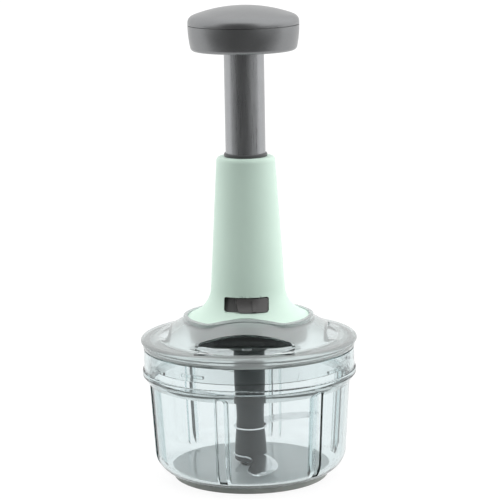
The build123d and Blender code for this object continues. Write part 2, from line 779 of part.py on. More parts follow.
with BuildPart() as handle_shell:
    with BuildSketch(Plane.XZ):
        with BuildLine():
            outer_flare = Bezier(*flare(0))
            Line((NECK_RADIUS, neck_height), (CONE_TOP_RADIUS, cone_top))
            Spline(
                (CONE_TOP_RADIUS, cone_top),
                (CROWN_RADIUS, handle_top),
                tangents=((-0.06, 1), (-1, 0)),
            )
            Polyline(
                (CROWN_RADIUS, handle_top),
                (0, handle_top),
                (0, web_top),
                (SKIRT_RADIUS, web_top),
                (SKIRT_RADIUS, skirt_edge),
            )
        make_face()
    revolve(axis=Axis.Z)
    add(skirt_column, mode=Mode.INTERSECT)
    outer_body = handle_shell.part
    add(handle_core.part, mode=Mode.SUBTRACT)
    add(inner_fittings.part)
    add(outer_body, mode=Mode.INTERSECT)
    with BuildSketch(Plane.XZ.offset(SLOT_HALF_WIDTH)) as slot_face:
        with Locations((0, (slot_bottom + slot_top) / 2)):
            RectangleRounded(2 * SLOT_HALF_WIDTH, SLOT_HEIGHT, SLOT_CORNER)
    extrude(slot_face.sketch, amount=SKIRT_RADIUS, mode=Mode.SUBTRACT)
    disc(TUBE_RADIUS + RUNNING_FIT + BUSH_WALL + PRESS_FIT, roof_bottom, handle_top, mode=Mode.SUBTRACT)
    for azimuth in around(SCREW_COUNT, SCREW_AZIMUTH):
        with Locations(Location(outward(azimuth) * SCREW_CIRCLE + Vector(0, 0, web_top))):
            Cylinder(
                SCREW_RADIUS + PRESS_FIT, 2 * SCREW_BITE, mode=Mode.SUBTRACT,
            )
finish(handle_shell.part, "handle_shell")

bush_bore = TUBE_RADIUS + RUNNING_FIT
flange_bottom = nut_flange_top + SLIDING_GAP + PRESS_FIT
flange_radius = handle_inside[0][0] + (cone_top - flange_bottom - BUSH_FLANGE) * (
    (handle_inside[1][0] - handle_inside[0][0]) / CONE_RISE
)
with BuildPart() as guide_bush:
    turned([
        (bush_bore, flange_bottom),
        (flange_radius - SEAM_GAP, flange_bottom),
        (flange_radius - SEAM_GAP, flange_bottom + BUSH_FLANGE),
        (bush_bore + BUSH_SLEEVE_WALL, flange_bottom + BUSH_FLANGE),
        (bush_bore + BUSH_SLEEVE_WALL, roof_bottom),
        (bush_bore + BUSH_WALL, roof_bottom),
        (bush_bore + BUSH_WALL, handle_top),
        (bush_bore + BUSH_WALL + BUSH_LIP_PROUD, handle_top),
        (bush_bore + BUSH_WALL + BUSH_LIP_PROUD, bush_top - 0.6),
        (bush_bore + BUSH_WALL, bush_top),
        (bush_bore, bush_top),
    ])
finish(guide_bush.part, "guide_bush")

# ================================================================== clutch housing
case_block = prism(case_outline(0), case_bottom, case_top)
case_chamber = prism(case_outline(-CASE_WALL), case_bottom, chamber_top)
with BuildPart() as drive_case:
    add(case_block)
    fillet(drive_case.edges().group_by(Axis.Z)[-1], 1.2)
    add(case_chamber, mode=Mode.SUBTRACT)
    disc(STEM_RADIUS + 2 * SEAM_GAP, chamber_top, case_top, mode=Mode.SUBTRACT)
    for azimuth in around(SCREW_COUNT, SCREW_AZIMUTH + 60):
        with Locations(Location(outward(azimuth) * SCREW_CIRCLE + Vector(0, 0, cover_top))):
            Cylinder(
                SCREW_BOSS_RADIUS, chamber_top - cover_top,
                align=(Align.CENTER, Align.CENTER, Align.MIN),
            )
            Cylinder(
                SCREW_RADIUS + PRESS_FIT, chamber_top - cover_top,
                align=(Align.CENTER, Align.CENTER, Align.MIN), mode=Mode.SUBTRACT,
            )
    for azimuth in around(SCREW_COUNT, SCREW_AZIMUTH):
        with Locations(Location(outward(azimuth) * SCREW_CIRCLE + Vector(0, 0, case_top))):
            Cylinder(SCREW_RADIUS + SEAM_GAP, 3 * CASE_ROOF, mode=Mode.SUBTRACT)
finish(drive_case.part, "drive_case")

bearing_top = cover_top - RATCHET_BOSS
cover_plate = prism(case_outline(-CASE_WALL - SEAM_GAP), case_bottom, cover_top)
with BuildPart() as drive_cover:
    add(cover_plate)
    disc(NECK_OUTER, neck_bottom, case_bottom)
    disc(BUSH_RADIUS + PRESS_FIT, neck_bottom, bearing_top - SLIDING_GAP, mode=Mode.SUBTRACT)
    disc(RATCHET_BOSS_RADIUS + SLIDING_GAP, neck_bottom, cover_top, mode=Mode.SUBTRACT)
    neck_edges = drive_cover.edges().group_by(Axis.Z)[0].sort_by(SortBy.RADIUS)[-1]
    fillet(neck_edges, 1.0)
    for azimuth in around(SCREW_COUNT, SCREW_AZIMUTH + 60):
        with Locations(Location(outward(azimuth) * SCREW_CIRCLE + Vector(0, 0, cover_top))):
            Cylinder(SCREW_RADIUS + SEAM_GAP, 3 * COVER_PLATE, mode=Mode.SUBTRACT)
finish(drive_cover.part, "drive_cover")

with BuildPart() as shaft_bush:
    turned([
        (SHAFT_RADIUS + RUNNING_FIT, neck_bottom),
        (BUSH_RADIUS, neck_bottom),
        (BUSH_RADIUS, bearing_top - SLIDING_GAP),
        (SHAFT_RADIUS + RUNNING_FIT, bearing_top - SLIDING_GAP),
    ])
finish(shaft_bush.part, "shaft_bush")


def screws(azimuths, seat, bite):
    """Pan-head screws that point up: their heads hang under a seat and their shanks go up from it."""
    with BuildPart() as group:
        for azimuth in azimuths:
            middle = outward(azimuth) * SCREW_CIRCLE
            with Locations(Location(middle + Vector(0, 0, seat - SCREW_HEAD_HEIGHT))):
                Cylinder(
                    SCREW_HEAD_RADIUS, SCREW_HEAD_HEIGHT,
                    align=(Align.CENTER, Align.CENTER, Align.MIN),
                )
            with Locations(Location(middle + Vector(0, 0, seat))):
                Cylinder(SCREW_RADIUS, bite, align=(Align.CENTER, Align.CENTER, Align.MIN))
            with Locations(Location(middle + Vector(0, 0, seat - SCREW_HEAD_HEIGHT))):
                Box(
                    SCREW_HEAD_RADIUS, 0.7, SCREW_HEAD_HEIGHT,
                    mode=Mode.SUBTRACT,
                )
    return group.part


housing_screws = screws(
    around(SCREW_COUNT, SCREW_AZIMUTH), chamber_top, web_top - chamber_top + 0.8 * SCREW_BITE
)
finish(housing_screws, "housing_screws")
cover_screws = screws(
    around(SCREW_COUNT, SCREW_AZIMUTH + 60), case_bottom, chamber_top - case_bottom - SEAM_GAP
)
finish(cover_screws, "cover_screws")

# ================================================================== plunger
with BuildPart() as plunger_tube:
    disc(TUBE_RADIUS, nut_flange_top, tube_top)
    disc(tube_bore, nut_flange_top, spring_top, mode=Mode.SUBTRACT)
    disc(CAP_SCREW_RADIUS + PRESS_FIT, spring_top, tube_top, mode=Mode.SUBTRACT)
finish(plunger_tube.part, "plunger_tube")


def twisted_bar(width, thickness, bottom, top):
    """A flat bar twisted about the axis at the rod's pitch, in phase with the rod at any height."""
    first = 360 * bottom / ROD_PITCH
    with BuildSketch(Plane.XY.offset(bottom)) as section:
        Rectangle(width, thickness, rotation=first)
    return Solid.extrude_linear_with_rotation(
        section.sketch.faces()[0], (0, 0, bottom), (0, 0, top - bottom),
        360 * (top - bottom) / ROD_PITCH,
    )


with BuildPart() as drive_nut:
    disc(TUBE_RADIUS, nut_bottom, nut_flange_top)
    disc(tube_bore - PRESS_FIT, nut_flange_top, nut_top)
    for azimuth in around(3, LUG_AZIMUTH):
        with BuildSketch(facing_plane(azimuth, 0)) as lug_face:
            with Locations((0, (nut_bottom + nut_flange_top) / 2)):
                Rectangle(NUT_LUG_WIDTH, NUT_FLANGE)
        extrude(lug_face.sketch, amount=NUT_LUG_RADIUS)
    disc(NUT_BORE, nut_flange_top, nut_top, mode=Mode.SUBTRACT)
    add(
        twisted_bar(
            ROD_WIDTH + 2 * ROD_GAP, ROD_THICKNESS + 2 * ROD_GAP,
            nut_bottom - 0.5, nut_flange_top + 0.5,
        ),
        mode=Mode.SUBTRACT,
    )
finish(drive_nut.part, "drive_nut")

socket_radius = TUBE_RADIUS + PRESS_FIT
with BuildPart() as knob_cup:
    with BuildSketch(Plane.XZ) as cup_section:
        with BuildLine():
            ThreePointArc(
                (KNOB_RADIUS, knob_seam - KNOB_SEAM / 2),
                ((2 * KNOB_RADIUS + knob_foot_radius) / 3 + 0.2, knob_bottom + 0.52 * KNOB_CUP_HEIGHT),
                (knob_foot_radius, knob_bottom),
            )
            Polyline(
                (knob_foot_radius, knob_bottom),
                (socket_radius, knob_bottom),
                (socket_radius, tube_top),
                (CAP_SCREW_RADIUS + 2 * PRESS_FIT, tube_top),
                (CAP_SCREW_RADIUS + 2 * PRESS_FIT, tube_top + KNOB_FLOOR),
                (socket_radius + KNOB_FLOOR, tube_top + KNOB_FLOOR),
                (socket_radius + KNOB_FLOOR, knob_bottom + KNOB_FLOOR),
                (knob_foot_radius - KNOB_FLOOR, knob_bottom + KNOB_FLOOR),
                (KNOB_RADIUS - KNOB_WALL, knob_bottom + 2 * KNOB_FLOOR),
                (KNOB_RADIUS - KNOB_WALL, knob_seam - KNOB_SEAM / 2),
                (KNOB_RADIUS, knob_seam - KNOB_SEAM / 2),
            )
        make_face()
        foot_corner = cup_section.vertices().sort_by_distance((knob_foot_radius, knob_bottom))[0]
        fillet(foot_corner, KNOB_FOOT_ROUNDING)
    revolve(axis=Axis.Z)
finish(knob_cup.part, "knob_cup")

cap_bottom = knob_seam + KNOB_SEAM / 2
cap_side = knob_seam + DOME_EDGE_RISE
cap_skirt_outer = KNOB_RADIUS - KNOB_WALL - PRESS_FIT
with BuildPart() as knob_cap:
    with BuildSketch(Plane.XZ):
        with BuildLine():
            crown = ThreePointArc(
                (0, knob_seam + CAP_RISE),
                (0.58 * cap_shoulder_radius, knob_seam + CAP_RISE - 0.33 * (CAP_RISE - CAP_SHOULDER_RISE)),
                (cap_shoulder_radius, knob_seam + CAP_SHOULDER_RISE),
            )
            Spline(
                crown @ 1,
                (KNOB_RADIUS, cap_side),
                tangents=(crown % 1, (0, -1)),
            )
            Polyline(
                (KNOB_RADIUS, cap_side),
                (KNOB_RADIUS, cap_bottom),
                (cap_skirt_outer, cap_bottom),
                (cap_skirt_outer, cap_bottom - CAP_SKIRT),
                (cap_skirt_outer - KNOB_WALL, cap_bottom - CAP_SKIRT),
                (cap_skirt_outer - KNOB_WALL, cap_side),
                (cap_shoulder_radius - KNOB_WALL, knob_seam + CAP_SHOULDER_RISE - KNOB_WALL),
                (0, knob_seam + CAP_RISE - KNOB_WALL),
                (0, knob_seam + CAP_RISE),
            )
        make_face()
    revolve(axis=Axis.Z)
finish(knob_cap.part, "knob_cap")

screw_seat = tube_top + KNOB_FLOOR
with BuildPart() as knob_screw:
    disc(CAP_SCREW_RADIUS, spring_top + SEAM_GAP, screw_seat)
    disc(2 * CAP_SCREW_RADIUS, screw_seat, screw_seat + CAP_SCREW_RADIUS)
    with Locations(Location((0, 0, screw_seat + CAP_SCREW_RADIUS))):
        Box(2 * CAP_SCREW_RADIUS, 0.9, CAP_SCREW_RADIUS, mode=Mode.SUBTRACT)
        Box(0.9, 2 * CAP_SCREW_RADIUS, CAP_SCREW_RADIUS, mode=Mode.SUBTRACT)
finish(knob_screw.part, "knob_screw")

# ================================================================== twisted rod and clutch
with BuildPart() as twist_rod:
    add(twisted_bar(ROD_WIDTH, ROD_THICKNESS, rod_bottom, rod_top))
    pin_height = stem_top - 4 * CROSS_PIN_RADIUS
    with BuildSketch(Plane.XZ.rotated((0, 0, 360 * pin_height / ROD_PITCH))) as pin_hole:
        with Locations((0, pin_height)):
            Circle(CROSS_PIN_RADIUS + PRESS_FIT)
    extrude(pin_hole.sketch, amount=STEM_RADIUS, both=True, mode=Mode.SUBTRACT)
finish(twist_rod.part, "twist_rod")

with BuildPart() as spring_seat:
    disc(tube_bore - 2 * SLIDING_GAP, seat_bottom, seat_top)
    disc(rod_corner + PRESS_FIT, seat_bottom, rod_top + PRESS_FIT, mode=Mode.SUBTRACT)
finish(spring_seat.part, "spring_seat")

spring_radius = tube_bore - 2 * SLIDING_GAP - SPRING_WIRE / 2
spring_height = spring_top - seat_top - SPRING_WIRE
with BuildPart() as return_spring:
    with BuildLine() as coil:
        Helix(
            pitch=spring_height / SPRING_COILS, height=spring_height, radius=spring_radius,
            center=(0, 0, seat_top + SPRING_WIRE / 2),
        )
    with BuildSketch(Plane(origin=coil.line @ 0, z_dir=coil.line % 0)):
        Circle(SPRING_WIRE / 2)
    sweep()
finish(return_spring.part, "return_spring")


def pawl_plane(azimuth, height):
    """Plane of a pawl: its origin on the pivot at an azimuth, its x towards the pawl's tip."""
    pivot = outward(azimuth) * PAWL_PIVOT
    tip = outward(azimuth + PAWL_SWEEP) * (RATCHET_TIP + PAWL_BITE)
    return Plane(origin=pivot + Vector(0, 0, height), x_dir=tip - pivot, z_dir=(0, 0, 1))


pawl_tip = outward(PAWL_SWEEP) * (RATCHET_TIP + PAWL_BITE)
pawl_length = (pawl_tip - outward(0) * PAWL_PIVOT).length
tip_corner = pawl_plane(0, 0).from_local_coords(Vector(pawl_length, PAWL_WIDTH / 2, 0))
tip_lead = degrees(atan2(tip_corner.X, -tip_corner.Y))
tooth_angle = 360 / RATCHET_TEETH
tooth_gap = degrees(SLIDING_GAP / tip_corner.length)
pawl_azimuths = around(PAWL_COUNT, 0.98 * tooth_angle - tooth_gap - tip_lead)


def pawl_fingers(grow, mode=Mode.ADD):
    """All pawls, straight fingers with a round eye at the pivot, grown on every side."""
    for azimuth in pawl_azimuths:
        with BuildSketch(pawl_plane(azimuth, carrier_bottom)) as plan:
            Circle(PAWL_EYE + grow)
            with Locations((pawl_length / 2, 0)):
                Rectangle(pawl_length, PAWL_WIDTH + 2 * grow)
        extrude(plan.sketch, amount=CARRIER_THICKNESS, mode=mode)


with BuildPart() as ratchet_cup:
    disc(RATCHET_RADIUS, ratchet_bottom, carrier_top)
    with BuildSketch(Plane.XY.offset(ratchet_bottom + RATCHET_FLOOR)) as teeth:
        with BuildLine():
            corners = []
            for azimuth in around(RATCHET_TEETH, 0):
                corners.append(outward(azimuth) * RATCHET_TIP)
                corners.append(outward(azimuth + 0.96 * tooth_angle) * RATCHET_ROOT)
            Polyline(*corners, close=True)
        make_face()
    extrude(teeth.sketch, amount=carrier_top - ratchet_bottom, mode=Mode.SUBTRACT)
    disc(RATCHET_BOSS_RADIUS, bearing_top, ratchet_bottom)
    disc(SHAFT_RADIUS + PRESS_FIT, bearing_top, carrier_top, mode=Mode.SUBTRACT)
finish(ratchet_cup.part, "ratchet_cup")

with BuildPart() as pawl_carrier:
    disc(CARRIER_RADIUS, carrier_bottom, carrier_top)
    pawl_fingers(SLIDING_GAP, mode=Mode.SUBTRACT)
    disc(STEM_RADIUS, carrier_top, stem_top)
    disc(rod_corner + PRESS_FIT, rod_bottom, stem_top, mode=Mode.SUBTRACT)
    with BuildSketch(Plane.XZ.rotated((0, 0, 360 * pin_height / ROD_PITCH))) as pin_bore:
        with Locations((0, pin_height)):
            Circle(CROSS_PIN_RADIUS + PRESS_FIT)
    extrude(pin_bore.sketch, amount=2 * STEM_RADIUS, both=True, mode=Mode.SUBTRACT)
finish(pawl_carrier.part, "pawl_carrier")

with BuildPart() as pawls:
    pawl_fingers(0)
finish(pawls.part, "pawls")

with BuildPart() as pawl_springs:
    for azimuth in pawl_azimuths:
        with BuildSketch(pawl_plane(azimuth, carrier_bottom + 0.1 * CARRIER_THICKNESS)) as leaf:
            leaf_length = 0.75 * pawl_length - PAWL_EYE - SLIDING_GAP
            with Locations((0.75 * pawl_length - leaf_length / 2, (PAWL_WIDTH + SLIDING_GAP) / 2)):
                Rectangle(leaf_length, PAWL_SPRING)
        extrude(leaf.sketch, amount=0.8 * CARRIER_THICKNESS)
finish(pawl_springs.part, "pawl_springs")

with BuildPart() as rod_pin:
    with BuildSketch(Plane.XZ.rotated((0, 0, 360 * pin_height / ROD_PITCH))) as pin_face:
        with Locations((0, pin_height)):
            Circle(CROSS_PIN_RADIUS)
    extrude(pin_face.sketch, amount=0.97 * STEM_RADIUS, both=True)
finish(rod_pin.part, "rod_pin")

# ================================================================== blade unit
hex_corner = HEX_FLATS / 2 / cos(radians(30))
with BuildPart() as output_shaft:
    disc(SHAFT_RADIUS, hub_top, ratchet_bottom + RATCHET_FLOOR)
    with BuildSketch(Plane.XY.offset(hub_top - HEX_LENGTH)) as hexagon:
        RegularPolygon(hex_corner, 6)
    extrude(hexagon.sketch, amount=HEX_LENGTH)
finish(output_shaft.part, "output_shaft")

blade_heights = [hub_bottom + LOWER_BLADE_RISE + BLADE_STEP * i for i in range(3)]
hub_waist = (blade_heights[1] + blade_heights[2]) / 2 - 2
with BuildPart() as blade_hub:
    with BuildSketch(Plane.XZ):
        with BuildLine():
            Spline(
                (HUB_TOP_RADIUS, hub_top - 1.2 * HEX_LENGTH),
                (HUB_WAIST_RADIUS, hub_waist),
                (HUB_FOOT_RADIUS, hub_bottom + LOWER_BLADE_RISE),
                tangents=((0, -1), (0, -1)),
            )
            Polyline(
                (HUB_FOOT_RADIUS, hub_bottom + LOWER_BLADE_RISE),
                (HUB_FOOT_RADIUS, hub_bottom + 0.6),
                (HUB_FOOT_RADIUS - 0.6, hub_bottom),
                (0, hub_bottom),
                (0, hub_top),
                (HUB_TOP_RADIUS - 0.6, hub_top),
                (HUB_TOP_RADIUS, hub_top - 0.6),
                (HUB_TOP_RADIUS, hub_top - 1.2 * HEX_LENGTH),
            )
        make_face()
    revolve(axis=Axis.Z)
    disc(PIN_RADIUS + RUNNING_FIT, hub_bottom, pin_top + 2 * SLIDING_GAP, mode=Mode.SUBTRACT)
    with BuildSketch(Plane.XY.offset(hub_top - HEX_LENGTH - SLIDING_GAP)) as socket:
        RegularPolygon(hex_corner + 2 * RUNNING_FIT, 6)
    extrude(socket.sketch, amount=HEX_LENGTH + SLIDING_GAP, mode=Mode.SUBTRACT)
    for height in blade_heights:
        turned(
            [
                (BLADE_EYE, height),
                (2 * BLADE_EYE, height),
                (2 * BLADE_EYE, height + BLADE_THICKNESS),
                (BLADE_EYE, height + BLADE_THICKNESS),
            ],
            mode=Mode.SUBTRACT,
        )
finish(blade_hub.part, "blade_hub")

blade_names = ("lower_blade", "middle_blade", "upper_blade")
for i, (name, height) in enumerate(zip(blade_names, blade_heights)):
    direction = outward(LOWER_BLADE_AZIMUTH + BLADE_TURN * i)
    blade_plane = Plane(origin=(0, 0, height), x_dir=direction, z_dir=(0, 0, 1))
    eye_radius = HUB_TOP_RADIUS + 0.6
    with BuildPart() as blade:
        with BuildSketch(blade_plane) as blade_face:
            Circle(eye_radius)
            with BuildLine():
                Spline(
                    (0.3 * eye_radius, 0.9 * eye_radius),
                    (0.48 * BLADE_REACH, 0.27 * BLADE_REACH),
                    (0.76 * BLADE_REACH, 0.22 * BLADE_REACH),
                    (BLADE_REACH, -0.02 * BLADE_REACH),
                )
                Spline(
                    (BLADE_REACH, -0.02 * BLADE_REACH),
                    (0.86 * BLADE_REACH, -0.10 * BLADE_REACH),
                    (0.56 * BLADE_REACH, -0.05 * BLADE_REACH),
                    (0.6 * eye_radius, -0.7 * eye_radius),
                )
                Line((0.6 * eye_radius, -0.7 * eye_radius), (0.3 * eye_radius, 0.9 * eye_radius))
            make_face()
            Circle(BLADE_EYE + PRESS_FIT, mode=Mode.SUBTRACT)
        extrude(blade_face.sketch, amount=BLADE_THICKNESS)
    finish(blade.part, name)

# ================================================================== lock switch
with BuildPart() as switch_plate:
    flare_band(
        WALL + RUNNING_FIT, WALL + RUNNING_FIT + PLATE_THICKNESS,
        slot_bottom - PLATE_MARGIN, slot_top + PLATE_MARGIN, 0, PLATE_HALF_ANGLE,
    )
    ring_block(
        RING_INNER, SKIRT_RADIUS, arm_bottom - SLIDING_GAP, arm_bottom + ARM_HEIGHT + SLIDING_GAP,
        0, arm_azimuth + ARM_HALF_ANGLE + 1.0, mode=Mode.SUBTRACT,
    )
finish(switch_plate.part, "switch_plate")

with BuildPart() as lock_ring:
    turned([
        (RING_INNER, ring_bottom),
        (RING_OUTER, ring_bottom),
        (RING_OUTER, ring_top),
        (RING_INNER, ring_top),
    ])
    for azimuth in around(3, LUG_AZIMUTH + RING_TAB_LEAD):
        ring_block(
            RING_TAB_RADIUS, (RING_INNER + RING_OUTER) / 2, ring_bottom, ring_top,
            azimuth, RING_TAB_HALF_ANGLE,
        )
finish(lock_ring.part, "lock_ring")

def pad_window(azimuth):
    """The slot's opening at an azimuth, less the pad's gap to its edges."""
    with BuildPart() as window:
        with BuildSketch(facing_plane(azimuth, 0)):
            with Locations((0, (slot_bottom + slot_top) / 2)):
                RectangleRounded(
                    2 * (SLOT_HALF_WIDTH - THUMB_GAP), SLOT_HEIGHT - 2 * THUMB_GAP,
                    SLOT_CORNER - THUMB_GAP,
                )
        extrude(amount=2 * SKIRT_RADIUS)
    return window.part


# The pad keeps its gap to the slot's ends at both ends of its travel.
window_at_rest = pad_window(0)
window_when_locked = pad_window(LOCK_TURN)
with BuildPart() as lock_slider:
    flare_band(
        -THUMB_PROUD, WALL - SLIDING_GAP, slot_bottom + THUMB_GAP, slot_top - THUMB_GAP,
        LOCK_TURN / 2, PLATE_HALF_ANGLE,
    )
    add(window_at_rest, mode=Mode.INTERSECT)
    add(window_when_locked, mode=Mode.INTERSECT)
    flare_band(
        -THUMB_PROUD - RIDGE_PROUD, 0, slot_bottom + 2 * THUMB_GAP, slot_top - 2 * THUMB_GAP,
        RIDGE_AZIMUTH, RIDGE_HALF_ANGLE,
    )
    ring_block(
        RING_OUTER + PRESS_FIT, NECK_RADIUS, arm_bottom, arm_bottom + ARM_HEIGHT,
        arm_azimuth, ARM_HALF_ANGLE,
    )
finish(lock_slider.part, "lock_slider")
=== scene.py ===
"""Looks of a hand-press food chopper: its finishes, its dressed pieces, the studio and the camera."""

import json
import logging
import math
from dataclasses import dataclass, field
from enum import Enum

import bpy
import numpy as np
from mathutils import Matrix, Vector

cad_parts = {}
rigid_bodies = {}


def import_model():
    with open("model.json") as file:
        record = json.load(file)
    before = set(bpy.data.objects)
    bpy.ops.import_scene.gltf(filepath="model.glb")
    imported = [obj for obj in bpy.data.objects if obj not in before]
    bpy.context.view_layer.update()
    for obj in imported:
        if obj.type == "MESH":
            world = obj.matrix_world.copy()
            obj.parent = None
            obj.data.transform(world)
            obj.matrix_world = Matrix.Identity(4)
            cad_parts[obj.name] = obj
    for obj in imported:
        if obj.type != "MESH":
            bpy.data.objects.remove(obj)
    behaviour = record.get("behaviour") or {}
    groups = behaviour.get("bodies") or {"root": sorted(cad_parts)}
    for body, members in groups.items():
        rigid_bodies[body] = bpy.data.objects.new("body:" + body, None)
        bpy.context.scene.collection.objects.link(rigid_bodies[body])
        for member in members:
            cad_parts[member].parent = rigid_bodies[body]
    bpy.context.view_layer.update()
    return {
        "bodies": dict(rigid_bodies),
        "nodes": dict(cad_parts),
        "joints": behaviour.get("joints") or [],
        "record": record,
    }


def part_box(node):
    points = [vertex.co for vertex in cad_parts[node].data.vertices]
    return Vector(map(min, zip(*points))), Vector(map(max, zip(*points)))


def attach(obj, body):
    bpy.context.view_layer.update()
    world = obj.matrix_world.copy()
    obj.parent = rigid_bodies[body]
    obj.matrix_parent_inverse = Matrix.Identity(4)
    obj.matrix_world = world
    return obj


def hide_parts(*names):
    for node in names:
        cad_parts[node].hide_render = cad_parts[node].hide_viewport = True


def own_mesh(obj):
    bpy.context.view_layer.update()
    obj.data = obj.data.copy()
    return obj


log = logging.getLogger("chopper")
Colour = tuple[float, float, float]
Grid = np.ndarray
MM = 0.001


class Axis(Enum):
    """Directions that a drawn or brushed grain can run in."""

    ALONG = (1.0, 1.0, 0.02)
    AROUND = (0.03, 0.03, 1.0)
    EVEN = (1.0, 1.0, 1.0)


class Shader:
    """A material under construction, with short calls for the nodes that its finishes share."""

    def __init__(self, name: str) -> None:
        """Start a material with one Principled shader.

        Args:
            name: Name of the finish.
        """
        self.material = bpy.data.materials.new(name)
        self.material.use_nodes = True
        self.tree = self.material.node_tree
        self.surface = self.tree.nodes["Principled BSDF"]
        self.output = self.tree.nodes["Material Output"]

    def node(self, kind: str, **settings: object) -> bpy.types.Node:
        """Add a node.

        Args:
            kind: Blender's name of the node's type.
            settings: Properties to set on it.

        Returns:
            The new node.
        """
        made = self.tree.nodes.new(kind)
        for key, value in settings.items():
            setattr(made, key, value)
        return made

    def link(self, source: bpy.types.NodeSocket, target: bpy.types.NodeSocket) -> None:
        """Join an output to an input."""
        self.tree.links.new(source, target)

    def set(self, **values: object) -> None:
        """Set the Principled shader's own sockets, with spaces written as underscores."""
        for key, value in values.items():
            self.surface.inputs[key.replace("_", " ")].default_value = value

    def place(self, stretch: tuple[float, float, float] = Axis.EVEN.value) -> bpy.types.NodeSocket:
        """Object coordinates, stretched along a grain.

        Args:
            stretch: Scale of the pattern along X, Y and Z.

        Returns:
            The vector to feed a texture with.
        """
        where = self.node("ShaderNodeTexCoord")
        mapping = self.node("ShaderNodeMapping")
        mapping.inputs["Scale"].default_value = stretch
        self.link(where.outputs["Object"], mapping.inputs["Vector"])
        return mapping.outputs["Vector"]

    def noise(
        self,
        scale: float,
        detail: float = 3.0,
        stretch: tuple[float, float, float] = Axis.EVEN.value,
    ) -> bpy.types.NodeSocket:
        """Fractal noise over the object.

        Args:
            scale: Features per metre.
            detail: Octaves.
            stretch: Scale of the pattern along X, Y and Z.

        Returns:
            The noise's value, about 0.2 to 0.8.
        """
        texture = self.node("ShaderNodeTexNoise")
        texture.inputs["Scale"].default_value = scale
        texture.inputs["Detail"].default_value = detail
        self.link(self.place(stretch), texture.inputs["Vector"])
        return texture.outputs["Fac"]

    def remap(self, value: bpy.types.NodeSocket, low: float, high: float) -> bpy.types.NodeSocket:
        """Spread a noise value between two numbers.

        Args:
            value: Noise to read.
            low: Number that its dark end becomes.
            high: Number that its bright end becomes.

        Returns:
            The spread value.
        """
        spread = self.node("ShaderNodeMapRange")
        spread.inputs["From Min"].default_value = 0.3
        spread.inputs["From Max"].default_value = 0.7
        spread.inputs["To Min"].default_value = low
        spread.inputs["To Max"].default_value = high
        self.link(value, spread.inputs["Value"])
        return spread.outputs["Result"]

    def calc(self, operation: str, first: object, second: object = 0.0) -> bpy.types.NodeSocket:
        """One step of arithmetic.

        Args:
            operation: Blender's name of the operation.
            first: Number or output to work on.
            second: Second number or output, where the operation takes one.

        Returns:
            The result.
        """
        step = self.node("ShaderNodeMath", operation=operation)
        for socket, value in zip(step.inputs, (first, second)):
            if isinstance(value, (int, float)):
                socket.default_value = value
            else:
                self.link(value, socket)
        return step.outputs[0]

    def vary_colour(self, value: bpy.types.NodeSocket, first: Colour, second: Colour) -> None:
        """Mottle the base colour between two close colours.

        Args:
            value: Noise to read.
            first: Colour at its dark end.
            second: Colour at its bright end.
        """
        mix = self.node("ShaderNodeMix", data_type="RGBA")
        mix.inputs[6].default_value = (*first, 1.0)
        mix.inputs[7].default_value = (*second, 1.0)
        self.link(self.remap(value, 0.0, 1.0), mix.inputs[0])
        self.link(mix.outputs[2], self.surface.inputs["Base Color"])

    def vary_roughness(self, value: bpy.types.NodeSocket, low: float, high: float) -> None:
        """Vary the roughness between two numbers along a noise."""
        self.link(self.remap(value, low, high), self.surface.inputs["Roughness"])

    def position(self) -> tuple[bpy.types.NodeSocket, ...]:
        """Where a point lies on the object.

        Returns:
            Its X, Y and Z, and its distance from the vertical axis.
        """
        where = self.node("ShaderNodeTexCoord")
        split = self.node("ShaderNodeSeparateXYZ")
        self.link(where.outputs["Object"], split.inputs[0])
        x, y, z = split.outputs
        square = self.calc("ADD", self.calc("POWER", x, 2), self.calc("POWER", y, 2))
        return x, y, z, self.calc("SQRT", square)

    def cloud(self, mask: bpy.types.NodeSocket, share: float, clear: Colour, milky: Colour) -> None:
        """Turn part of a clear surface's transmission into a diffuse haze.

        Args:
            mask: Socket that is 1 on the cloudy area and 0 elsewhere.
            share: Part of the light that the cloudy area scatters.
            clear: Colour outside the area.
            milky: Colour on it.
        """
        self.link(self.remap(mask, 1.0, 1.0 - share), self.surface.inputs["Transmission Weight"])
        self.vary_colour(mask, clear, milky)

    def relief(self, height: bpy.types.NodeSocket, depth: float, strength: float = 1.0) -> None:
        """Raise a fine relief from a height value.

        Args:
            height: Height pattern.
            depth: Height of the relief in metres.
            strength: Share of the relief that shows.
        """
        bump = self.node("ShaderNodeBump")
        bump.inputs["Strength"].default_value = strength
        bump.inputs["Distance"].default_value = depth
        self.link(height, bump.inputs["Height"])
        self.link(bump.outputs["Normal"], self.surface.inputs["Normal"])


def shade(colour: Colour, share: float) -> Colour:
    """A colour made lighter or darker by a share."""
    return tuple(min(1.0, c * share) for c in colour)


@dataclass(frozen=True)
class Finish:
    """A finish that pieces of the chopper wear."""

    name: str
    colour: Colour
    roughness: float

    def build(self) -> bpy.types.Material:
        """Make the material.

        Returns:
            The material, ready to assign.
        """
        shader = Shader(self.name)
        shader.set(Base_Color=(*self.colour, 1.0), Roughness=self.roughness)
        self.detail(shader)
        return shader.material

    def detail(self, shader: Shader) -> None:
        """Add what sets this finish apart. A plain finish adds nothing."""


